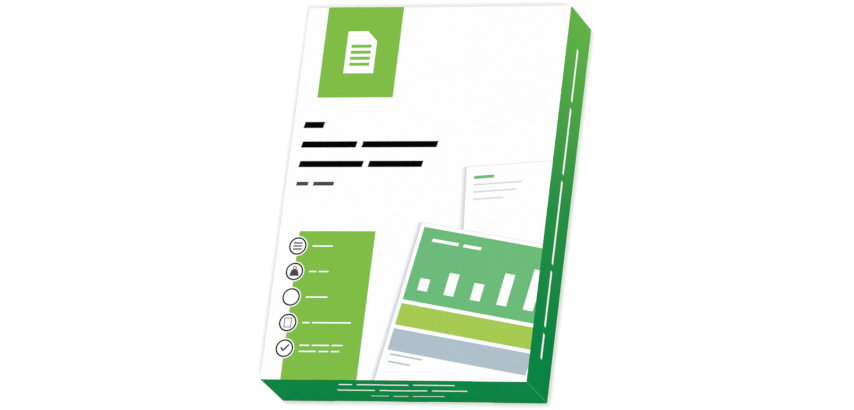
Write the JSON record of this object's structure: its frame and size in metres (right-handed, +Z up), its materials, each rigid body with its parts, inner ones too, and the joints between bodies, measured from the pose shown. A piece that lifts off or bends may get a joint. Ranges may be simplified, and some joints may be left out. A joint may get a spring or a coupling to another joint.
{
  "type": "ream of paper",
  "caption": "Sealed A4 ream lying flat in a printed paper wrapper, with envelope-folded ends and a lapped underside.",
  "frame": {"origin": "middle of the underside, on the surface that the pack lies on", "axes": "+X across the sheets, +Y along the sheets towards the far end of the front face, +Z up through the stack"},
  "size_m": [0.2103, 0.2982, 0.0505],
  "materials": {
    "paper": "coated wrapper paper, soft sheen, printed"
  },
  "bodies": {
    "root": {"wrapped_ream": "paper"}
  },
  "joints": []
}
